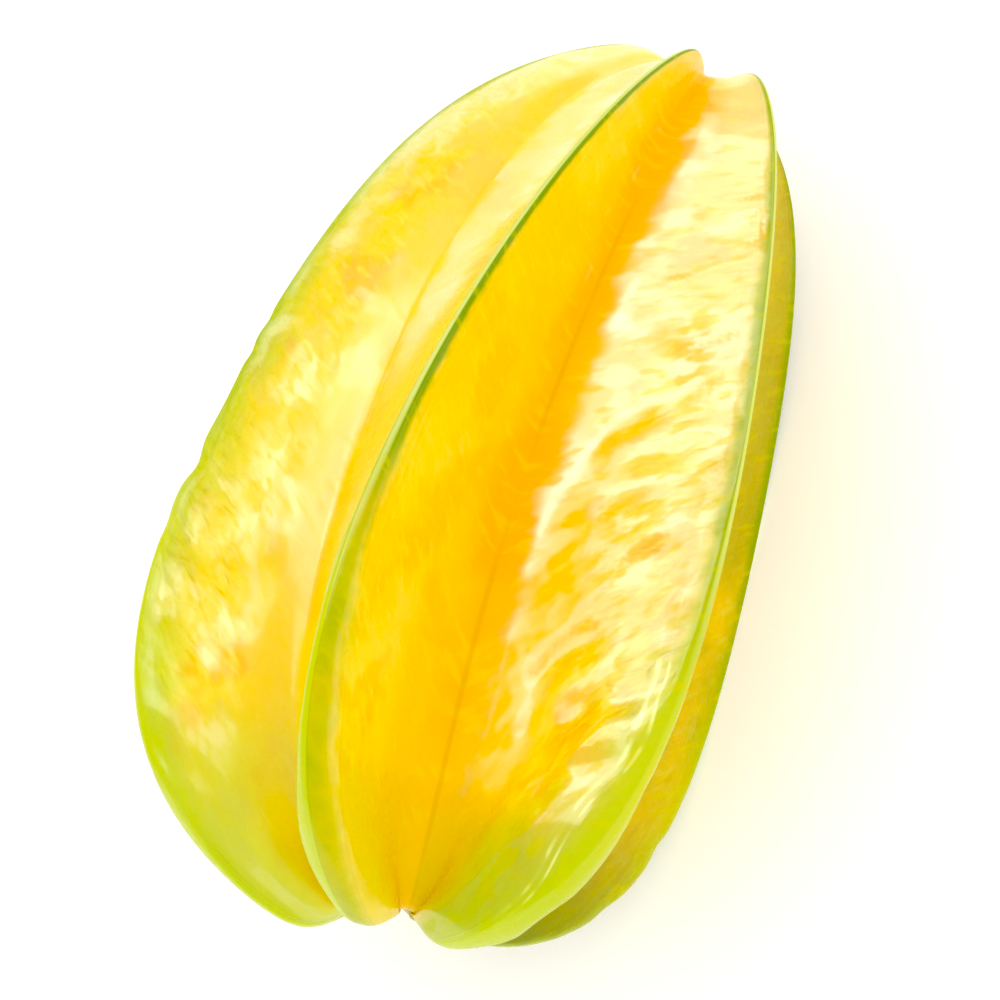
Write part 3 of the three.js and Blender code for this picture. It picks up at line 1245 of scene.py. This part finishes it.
@dataclass(frozen=True)
class Wax:
    """The wax: none in deep valleys and rubbed off in places, with its highlight painted in cream
    patches.
    """

    # Cream of the painted highlight patches.
    highlight_cream: Colour = tint(255, 236, 148)
    olive: Colour = tint(216, 206, 24)
    tear: Clouds = Clouds(7.0, 3.2, Span(0.3, 0.7, -0.035, 0.05))
    highlight_blooms: Clouds = Clouds(6.0, 3.4, Span(0.42, 0.58, 0.0, 0.8), 1.5)
    highlight_foot: Span = Span(0.08, 0.17)
    highlight_zone: Zone = (Mask(Trait.CREST, 0.42, 0.26), Mask(Trait.ALONG, 0.14, 0.26),
                        Mask(Trait.ALONG, 0.98, 0.9), Mask(Trait.WAX, 0.6, 0.9))
    shoulder_highlight_zone: Zone = (Mask(Trait.ALONG, 0.8, 0.95, 0.0, 0.6), Mask(Trait.CREST, 0.2, 0.45),
                           Mask(Trait.CREST, 0.97, 0.9), Mask(Trait.WAX, 0.55, 0.7))
    dimples: Clouds = Clouds(4.6, 1.3, Span(0.55, 0.68), 1.5)
    dimple_reach: Mask = Mask(Trait.ALONG, 0.75, 0.6, 0.45, 0.62)
    hollows: Clouds = Clouds(8.0, 2.7, Span(0.5, 0.6, 0.0, 0.85))
    hollow_zone: Zone = (Mask(Trait.CREST, 0.34, 0.5), Mask(Trait.CREST, 0.85, 0.62))
    hollow_reach: Mask = Mask(Trait.ALONG, 0.8, 0.66)
    kept: Mask = Mask(Trait.CREST, 0.4, 0.2, 0.0, 0.5)
    olive_zone: Zone = (Mask(Trait.CREST, 0.5, 0.8, 0.1, 0.6),
                        Mask(Trait.ALONG, 0.05, 0.25, 0.2, 1.0))
    shallow_foot: float = 0.1
    foot: Span = Span(0.07, 0.155)
    coat_zone: Zone = (Mask(Trait.CREST, 0.97, 0.88, 0.3, 1.0),
                       Mask(Trait.ALONG, 0.04, 0.2, 0.45, 1.0))
    thins: Clouds = Clouds(11.0, 6.0, Span(0.42, 0.56, 0.0, 0.7))
    thin_rise: Mask = Mask(Trait.CREST, 0.12, 0.4, 0.35, 1.0)

    def brink(self, skin: SkinMap) -> Socket:
        """The crest with a torn edge, where the wax begins."""
        return skin.weave.plus(skin.crest, skin.clouds(self.tear))

    def painted_highlights(self, skin: SkinMap, brink: Socket, colour: Socket) -> Socket:
        """Paints highlight as cream patches along the brink of deep valleys and on the stalk end's
        shoulders.

        Args:
            skin: what to read.
            brink: where the wax begins.
            colour: the colour below.

        Returns:
            The colour with the painted highlight.
        """
        weave = skin.weave
        # Painted highlight: cream patches along the brink of deep valleys.
        highlight = weave.times(skin.clouds(self.highlight_blooms), weave.grade(brink, self.highlight_foot),
                            skin.zone(*self.highlight_zone), skin.deep)
        colour = weave.blend(highlight, colour, self.highlight_cream)
        # Painted highlight: cream on the shoulders at the stalk end.
        return weave.blend(skin.zone(*self.shoulder_highlight_zone), colour, self.highlight_cream)

    def bare(self, skin: SkinMap) -> Socket:
        """Rubs the wax off in small dimples, and in broad hollows past mid flank.

        Args:
            skin: what to read.

        Returns:
            1 where the skin is bare.
        """
        weave = skin.weave
        dimples = weave.times(skin.clouds(self.dimples), skin.zone(self.dimple_reach))
        reach = weave.most(skin.zone(self.hollow_reach), skin.shallow)
        hollows = weave.times(skin.clouds(self.hollows), skin.zone(*self.hollow_zone), reach)
        kept = weave.times(skin.shallow, skin.zone(self.kept))
        return weave.times(weave.most(dimples, hollows), weave.rest(kept))

    def rubbed(self, skin: SkinMap, bare: Socket, colour: Socket) -> Socket:
        """Shows olive skin where the wax is rubbed off.

        Args:
            skin: what to read.
            bare: how far it is rubbed off.
            colour: the colour below.

        Returns:
            The colour with the olive.
        """
        olive = skin.weave.times(bare, skin.zone(*self.olive_zone))
        return skin.weave.blend(olive, colour, self.olive)

    def thickness(self, skin: SkinMap, brink: Socket, bare: Socket) -> Socket:
        """Thins the wax on the rim, at the apex and in clouds on shallow flanks.

        Args:
            skin: what to read.
            brink: where the wax begins.
            bare: how far it is rubbed off.

        Returns:
            How thick the wax is, from 0 to 1.
        """
        weave = skin.weave
        foot = weave.plus(brink, weave.times(skin.shallow, self.shallow_foot))
        thin = weave.times(skin.shallow, skin.clouds(self.thins), skin.zone(self.thin_rise))
        return weave.times(weave.grade(foot, self.foot), skin.zone(*self.coat_zone), weave.rest(thin),
                           skin.traits[Trait.WAX], weave.rest(bare))


@dataclass(frozen=True)
class Relief:
    """The finest relief, left to the shader: wrinkles, creases, rim lines and grain."""

    depth: float = 0.5 * MM
    outer: Zone = (Mask(Trait.CREST, 0.12, 0.4), Mask(Trait.ALONG, 0.1, 0.34, 0.15, 1.0))
    wrinkle_size: tuple[float, float] = (3.2, 1.6)
    wrinkle_share: float = 0.65
    cell_size: tuple[float, float] = (5.0, 2.4)
    cell_wobbles: float = 1.2
    cell_bend: float = 0.7
    crease: Span = Span(0.0, 0.3)
    crease_rise: Mask = Mask(Trait.CREST, 0.3, 0.55, 0.0, 0.22)
    fine_roughness: float = 0.4
    lines_across: float = 26.0
    lines_along: float = 7.0
    line_rise: Mask = Mask(Trait.CREST, 0.7, 0.9, 0.0, 0.35)
    grain_share: float = 0.05

    def normal(self, skin: SkinMap) -> Socket:
        """Raises wrinkles and thin creases on the outer flanks, and a fine grain all over.

        Args:
            skin: what to read.

        Returns:
            The normal of the raised skin.
        """
        weave = skin.weave
        wrinkles = weave.noise(skin.lanes(*self.wrinkle_size), 1.0, 1.0, self.fine_roughness)
        creases = weave.times(weave.grade(self.inside(skin), self.crease), skin.zone(self.crease_rise))
        puckers = weave.plus(weave.times(wrinkles, self.wrinkle_share), creases)
        return weave.bumped(weave.plus(
            weave.times(puckers, skin.traits[Trait.PUCKER], skin.zone(*self.outer)),
            weave.times(self.rim_lines(skin), skin.zone(self.line_rise)),
            weave.times(skin.grain, self.grain_share)), self.depth)

    def inside(self, skin: SkinMap) -> Socket:
        """Parts the outer flank into small bent cells.

        Args:
            skin: what to read.

        Returns:
            How far each place is inside its cell, from 0 between them.
        """
        weave, lanes = skin.weave, skin.lanes(*self.cell_size)
        wobble = weave.add("ShaderNodeTexNoise", noise_dimensions="2D")
        wobble.inputs["Scale"].default_value = self.cell_wobbles
        wobble.inputs["Detail"].default_value = 1.0
        weave.feed(wobble.inputs["Vector"], lanes)
        bend = weave.add("ShaderNodeVectorMath", operation="SCALE")
        weave.feed(bend.inputs[0], wobble.outputs["Color"])
        bend.inputs["Scale"].default_value = self.cell_bend
        bent = weave.add("ShaderNodeVectorMath", operation="ADD")
        weave.feed(bent.inputs[0], lanes)
        weave.feed(bent.inputs[1], bend.outputs[0])
        cells = weave.add("ShaderNodeTexVoronoi", voronoi_dimensions="2D", feature="DISTANCE_TO_EDGE")
        cells.inputs["Scale"].default_value = 1.0
        weave.feed(cells.inputs["Vector"], bent.outputs[0])
        return cells.outputs["Distance"]

    def rim_lines(self, skin: SkinMap) -> Socket:
        """Thin lines that run beside the rim.

        Args:
            skin: what to read.

        Returns:
            The lines, from 0 to 1.
        """
        weave = skin.weave
        place = weave.point(weave.times(skin.crest, self.lines_across),
                            weave.times(skin.along, self.lines_along))
        return weave.noise(place, 1.0, 1.0, self.fine_roughness)


@dataclass(frozen=True)
class SkinFinish:
    """Thin waxy skin over watery flesh: deep yellow valleys, yellow flanks and green rims."""

    flesh: Flesh = Flesh()
    greening: Greening = Greening()
    edging: Edging = Edging()
    wax: Wax = Wax()
    relief: Relief = Relief()
    mottle: tuple[float, float] = (62.0, 900.0)
    # Painted shade: a darker orange line along the bottom of deep valleys.
    crease_shade: Colour = tint(232, 168, 2)
    crease_shade_width: Mask = Mask(Trait.CREST, 0.012, 0.003, 0.0, 0.4)
    crease_shade_gap: Span = Span(0.4, 0.55)
    roughness: Span = Span(0.3, 0.7, 0.24, 0.38)
    ior: float = 1.33
    coat_roughness: float = 0.14
    coat_ior: float = 2.2

    def material(self) -> bpy.types.Material:
        """Builds the skin's material.

        Returns:
            A material that reads the skin's traits and its lanes.
        """
        made = bpy.data.materials.new("waxy fruit skin")
        made.use_nodes = True
        weave = Weave(made.node_tree)
        skin = SkinMap(weave, self.mottle)
        brink, bare = self.wax.brink(skin), self.wax.bare(skin)
        colour = self.greening.over(skin, self.flesh.colour(skin))
        # Painted highlight: the cream patches go over the rim's colours.
        colour = self.wax.painted_highlights(skin, brink, self.edging.over(skin, colour))
        # Painted shade in the valley's crease.
        crease_shade = weave.times(skin.zone(self.crease_shade_width), skin.deep,
                           weave.grade(skin.patches, self.crease_shade_gap))
        colour = self.wax.rubbed(skin, bare, weave.blend(crease_shade, colour, self.crease_shade))
        shader = weave.add("ShaderNodeBsdfPrincipled")
        weave.feed(shader.inputs["Base Color"], colour)
        weave.feed(shader.inputs["Roughness"], weave.grade(skin.grain, self.roughness))
        shader.inputs["IOR"].default_value = self.ior
        weave.feed(shader.inputs["Coat Weight"], self.wax.thickness(skin, brink, bare))
        shader.inputs["Coat Roughness"].default_value = self.coat_roughness
        shader.inputs["Coat IOR"].default_value = self.coat_ior
        weave.feed(shader.inputs["Normal"], self.relief.normal(skin))
        weave.feed(weave.add("ShaderNodeOutputMaterial").inputs["Surface"], shader.outputs[0])
        return made


@dataclass(frozen=True)
class StalkFinish:
    """Dry, woody stalk: brown with paler cracks."""

    bark: Colour = tint(92, 66, 34)
    crack: Colour = tint(150, 122, 76)
    mottle: tuple[float, float] = (900.0, 2600.0)
    cracks: Span = Span(0.45, 0.65)
    roughness: float = 0.85
    depth: float = 0.15 * MM

    def material(self) -> bpy.types.Material:
        """Builds the stub's material, on Object coordinates.

        Returns:
            The material.
        """
        made = bpy.data.materials.new("dry stalk")
        made.use_nodes = True
        weave = Weave(made.node_tree)
        here = weave.add("ShaderNodeTexCoord").outputs["Object"]
        patches, grain = MottleGroup.place(weave, here, self.mottle)
        shader = weave.add("ShaderNodeBsdfPrincipled")
        bark = weave.blend(weave.grade(patches, self.cracks), self.bark, self.crack)
        weave.feed(shader.inputs["Base Color"], bark)
        shader.inputs["Roughness"].default_value = self.roughness
        weave.feed(shader.inputs["Normal"], weave.bumped(grain, self.depth))
        weave.feed(weave.add("ShaderNodeOutputMaterial").inputs["Surface"], shader.outputs[0])
        return made


# ---------------------------------------------------------------- the stub


@dataclass
class StalkStub:
    """The dry remains of the stalk, on the floor of the stalk-end hollow. In mm.

    A furrowing has its number of furrows, their depth as a share of the radius, and its turn.
    """

    skin: Skin
    radius: float = 1.2
    collar: float = 1.6
    collar_height: float = 0.55
    collar_spread: float = 0.45
    shrinking: float = 0.2
    squareness: float = 24.0
    tip_radius: float = 0.35
    tip_sink: float = 0.08
    height: float = 2.4
    seat: float = 1.3
    furrowings: tuple[tuple[int, float, float], ...] = ((5, 0.07, 1.3), (13, 0.03, 0.0))
    around: int = 48
    rings: int = 40

    def build(self) -> bpy.types.Object:
        """Turns the stub's outline about the fruit's axis and furrows it lengthwise.

        The radius follows the outline, a foot, a collar and a shrunken tip, and is multiplied by
        one plus a small wave round the stub that deepens towards the tip.

        Returns:
            The stub's object.
        """
        height = np.linspace(-self.seat, self.height, self.rings)
        share = np.linspace(0.0, 1.0, self.rings)
        collar = self.collar_height * self.height
        bulge = np.exp(-(((height - collar) / self.collar_spread) ** 2))
        narrowing = smooth_step(collar, self.height, height)
        radius = self.radius * (1 - self.shrinking * narrowing) + (self.collar - self.radius) * bulge
        radius = radius * np.sqrt(np.clip(1.0 - share**self.squareness, 0.0, 1.0))
        radius[-1] = self.tip_radius * self.radius
        angle = np.linspace(0.0, 2 * pi, self.around, endpoint=False)
        furrow = np.ones((self.rings, self.around))
        for count, depth, turn in self.furrowings:
            furrow = furrow - depth * np.multiply.outer(share, 1 + np.cos(count * angle + turn))
        out = radius[:, None] * furrow
        floor = self.skin.core.stalk_floor
        toward, across = self.skin.core.bend(np.array(floor))
        grid = np.stack([
            np.broadcast_to(floor + height[::-1, None], out.shape),
            out[::-1] * np.cos(angle) + toward,
            out[::-1] * np.sin(angle) + across,
        ], axis=-1)
        tip = floor + self.height - self.tip_sink
        ends = [[tip, toward, across], [floor - self.seat, toward, across]]
        own = np.vstack([grid.reshape(-1, 3), ends])
        count = self.rings * self.around
        faces = [
            ring_faces(self.rings, self.around),
            cap_faces(0, self.around, count, at_start=True),
            cap_faces(count - self.around, self.around, count + 1, at_start=False),
        ]
        return mesh_object("dry_stalk", self.skin.placed(own), faces)


# ---------------------------------------------------------------- the studio


@dataclass(frozen=True)
class Softbox:
    """A square soft light: the way to it from the fruit, how far, how wide and how bright.

    Its power in watts is pi times its area times the brightness of its face. A light with
    sheen_only shows in the sheen of the wax, and doesn't brighten the colours.
    """

    name: str
    way: tuple[float, float, float]
    distance: float
    width: float
    glow: float
    sheen_only: bool = False

    def light(self, target: Vector) -> None:
        """Makes the light.

        Args:
            target: what it faces.
        """
        lamp = bpy.data.lights.new(self.name, "AREA")
        lamp.shape, lamp.size = "SQUARE", self.width
        lamp.energy = pi * self.width**2 * self.glow
        held = bpy.data.objects.new(self.name, lamp)
        way = Vector(self.way).normalized()
        held.location = target + way * self.distance
        held.rotation_euler = way.to_track_quat("Z", "Y").to_euler()
        held.visible_diffuse = not self.sheen_only
        bpy.context.scene.collection.objects.link(held)


@dataclass(frozen=True)
class Viewpoint:
    """Where the camera stands, told from the fruit's own axis. Lengths in mm, clip in metres."""

    lean: float = radians(20.7)
    away: float = radians(10.3)
    right: float = 7.22
    below: float = -1.89
    distance: float = 585.0
    lens: float = 179.0
    sensor: float = 36.0
    clip: tuple[float, float] = (0.01, 20.0)

    def camera(self, skin: Skin) -> bpy.types.Object:
        """Makes the camera.

        The fruit's axis leans in the frame by lean and points away from the camera by away; its
        middle is right of and below the frame's middle by the two offsets.

        Args:
            skin: the settled skin, whose turning and move the camera follows.

        Returns:
            The camera's object.
        """
        axis = np.array([sin(self.lean) * cos(self.away), -cos(self.lean) * cos(self.away),
                         sin(self.away)])
        across = np.array([cos(self.lean), sin(self.lean), 0.0])
        toward = np.cross(across, axis)
        frame_from_fruit = np.stack([axis, toward, across], axis=1)
        middle = np.array([self.right, self.below, self.distance])
        turning = skin.lie.turning()
        right, down, forward = (turning @ row for row in frame_from_fruit)
        place = skin.placed(-(frame_from_fruit.T @ middle))
        lens = bpy.data.cameras.new("camera")
        lens.lens, lens.sensor_width = self.lens, self.sensor
        lens.clip_start, lens.clip_end = self.clip
        held = bpy.data.objects.new("camera", lens)
        turn = Matrix((right, -down, -forward)).transposed().to_4x4()
        held.matrix_world = Matrix.Translation(Vector(place)) @ turn
        bpy.context.scene.collection.objects.link(held)
        return held


@dataclass(frozen=True)
class Studio:
    """A plain pale floor, a bright even surround and soft lights.

    The wax mirrors the surround at the reflected strength, and all else sees its full one.
    """

    floor_half_width: float = 3.0
    floor_colour: Colour = tint(250, 250, 250)
    floor_roughness: float = 0.9
    floor_glow: float = 0.16
    white: Colour = tint(255, 255, 255)
    surround: float = 0.94
    reflected: float = 0.3
    exposure: float = 0.3
    black: float = 0.035
    lights: tuple[Softbox, ...] = (
        Softbox("key", (0.60, 0.43, 0.66), 0.8, 0.78, 0.26),
        Softbox("haze", (0.60, 0.43, 0.66), 0.8, 0.78, 1.1, sheen_only=True),
        Softbox("window", (0.68, 0.26, 0.68), 0.8, 0.48, 1.3, sheen_only=True),
        Softbox("skylight", (0.38, 0.27, 0.88), 0.8, 0.30, 1.2, sheen_only=True),
        Softbox("sill", (0.26, 0.77, 0.58), 0.8, 0.30, 1.3, sheen_only=True),
        Softbox("ceiling", (0.13, 0.56, 0.82), 0.8, 0.46, 1.1, sheen_only=True),
    )

    def develop(self) -> None:
        """Sets how the picture is shown: a little brighter, with deeper darks."""
        shown = bpy.context.scene.view_settings
        shown.view_transform = "Standard"
        shown.exposure = self.exposure
        shown.use_curve_mapping = True
        shown.curve_mapping.black_level = (self.black,) * 3
        shown.curve_mapping.update()

    def lay_floor(self) -> None:
        half = self.floor_half_width
        corners = np.array([[-half, -half, 0], [half, -half, 0], [half, half, 0], [-half, half, 0]])
        floor = mesh_object("floor", corners, [np.array([[0, 1, 2, 3]])], smooth=False)
        paint = bpy.data.materials.new("pale floor")
        paint.use_nodes = True
        shader = paint.node_tree.nodes["Principled BSDF"]
        shader.inputs["Base Color"].default_value = self.floor_colour
        shader.inputs["Roughness"].default_value = self.floor_roughness
        shader.inputs["Emission Color"].default_value = self.floor_colour
        shader.inputs["Emission Strength"].default_value = self.floor_glow
        floor.data.materials.append(paint)

    def surround_with_light(self) -> None:
        """Makes the world: one even white, dimmer where the wax mirrors it."""
        world = bpy.data.worlds.new("surround")
        world.use_nodes = True
        weave = Weave(world.node_tree)
        sky = weave.add("ShaderNodeBackground")
        sky.inputs["Color"].default_value = self.white
        mirrored = weave.add("ShaderNodeLightPath").outputs["Is Glossy Ray"]
        strength = weave.grade(mirrored, Span(0.0, 1.0, self.surround, self.reflected))
        weave.feed(sky.inputs["Strength"], strength)
        weave.feed(weave.add("ShaderNodeOutputWorld").inputs["Surface"], sky.outputs[0])
        bpy.context.scene.world = world

    def build(self, target: Vector) -> None:
        """Lays the floor and sets the lights.

        Args:
            target: what the lights face.
        """
        self.lay_floor()
        self.surround_with_light()
        for softbox in self.lights:
            softbox.light(target)
        self.develop()


# ---------------------------------------------------------------- assembly


def dress(piece: bpy.types.Object, node: str, material: bpy.types.Material) -> None:
    """Gives a piece its material and lets it stand for a node of the frame.

    Args:
        piece: the piece.
        node: the node that it stands for.
        material: its material.
    """
    piece.data.materials.append(material)
    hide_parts(node)
    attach(piece, ROOT)
    log.info("%s: %d faces, for %s", piece.name, len(piece.data.polygons), node)


def main() -> None:
    """Builds the skin, the stub, the studio and the camera."""
    logging.basicConfig(level=logging.INFO)
    skin = Skin()
    dress(skin.build(), "fruit", SkinFinish().material())
    dress(StalkStub(skin).build(), "stalk_stub", StalkFinish().material())
    low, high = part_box("fruit")
    Studio().build((low + high) / 2)
    bpy.context.scene.camera = Viewpoint().camera(skin)


if __name__ == "__main__":
    main()
